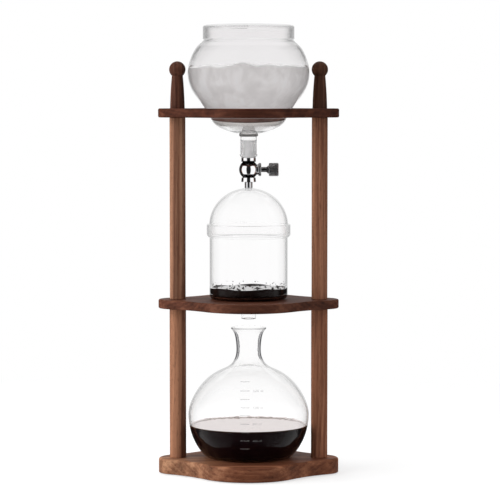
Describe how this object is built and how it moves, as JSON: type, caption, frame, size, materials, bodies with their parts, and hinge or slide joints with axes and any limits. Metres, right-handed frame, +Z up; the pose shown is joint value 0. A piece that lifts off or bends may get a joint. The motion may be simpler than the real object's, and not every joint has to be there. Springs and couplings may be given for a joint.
{
  "type": "cold drip coffee tower",
  "caption": "Walnut stand on two posts holding a lidded glass water bowl, a needle drip valve, a domed glass coffee chamber and a round glass flask.",
  "frame": {"origin": "middle of the footprint, on the plane that the rubber feet stand on", "axes": "+Z up through the bowl, valve, chamber and flask; the posts stand at +X and -X; the front faces -Y"},
  "size_m": [0.241, 0.188, 0.6012],
  "materials": {
    "walnut": "oiled walnut, satin",
    "brass": "machined",
    "steel": "zinc plated",
    "rubber": "matte black",
    "silicone": "translucent white silicone",
    "clear_glass": "clear borosilicate, polished",
    "frosted_glass": "ground, frosted",
    "chrome": "polished plate",
    "black_chrome": "dark plated, grooved",
    "ptfe": "white PTFE",
    "ceramic": "unglazed white ceramic filter",
    "ice_water": null,
    "coffee_grounds": null,
    "brewed_coffee": null
  },
  "bodies": {
    "stand": {"base_plate": "walnut", "rubber_feet": "rubber", "base_bolts": "steel", "lower_post_left": "walnut", "lower_post_right": "walnut", "middle_shelf": "walnut", "upper_post_left": "walnut", "upper_post_right": "walnut", "top_shelf": "walnut", "finial_left": "walnut", "finial_right": "walnut", "threaded_inserts": "brass", "joint_studs": "steel"},
    "bowl": {"water_bowl": "clear_glass", "ice_and_water": "ice_water"},
    "lid": {"bowl_lid": "clear_glass"},
    "valve": {"valve_cone": "frosted_glass", "valve_body": "chrome", "drip_tip": "chrome", "packing_nut": "chrome", "stem_packing": "ptfe"},
    "needle_seal": {"stem_seal": "rubber"},
    "knob": {"needle_stem": "chrome", "control_knob": "black_chrome", "knob_set_screw": "steel"},
    "chamber": {"coffee_chamber": "clear_glass", "filter_disc": "ceramic", "filter_gasket": "silicone", "coffee_grounds": "coffee_grounds"},
    "dome": {"dome_lid": "clear_glass"},
    "flask": {"flask": "clear_glass", "brewed_coffee": "brewed_coffee"}
  },
  "joints": [
    {"name": "bowl_lift", "type": "slide", "parent": "stand", "child": "bowl", "axis": [0, 0, 1], "range_m": [0, 0.12]},
    {"name": "lid_lift", "type": "slide", "parent": "bowl", "child": "lid", "axis": [0, 0, 1], "range_m": [0, 0.06]},
    {"name": "valve_turn", "type": "hinge", "parent": "bowl", "child": "valve", "pos_m": [0, 0, 0.4073], "axis": [0, 0, 1], "continuous": true},
    {"name": "needle_travel", "type": "slide", "parent": "valve", "child": "needle_seal", "axis": [1, 0, 0], "range_m": [-0.0007, 0.0014]},
    {"name": "knob_turn", "type": "hinge", "parent": "needle_seal", "child": "knob", "pos_m": [0, 0, 0.4073], "axis": [1, 0, 0], "range_deg": [-360, 720]},
    {"name": "chamber_lift", "type": "slide", "parent": "stand", "child": "chamber", "axis": [0, 0, 1], "range_m": [0, 0.03]},
    {"name": "dome_lift", "type": "slide", "parent": "chamber", "child": "dome", "axis": [0, 0, 1], "range_m": [0, 0.06]},
    {"name": "flask_slide", "type": "slide", "parent": "stand", "child": "flask", "axis": [0, -1, 0], "range_m": [0, 0.1]}
  ],
  "couplings": [
    {"joint": "chamber_lift", "follows": "bowl_lift", "ratio": 0.25},
    {"joint": "dome_lift", "follows": "bowl_lift", "ratio": 0.5},
    {"joint": "knob_turn", "follows": "needle_travel", "rad_per_m": 8975.9}
  ]
}
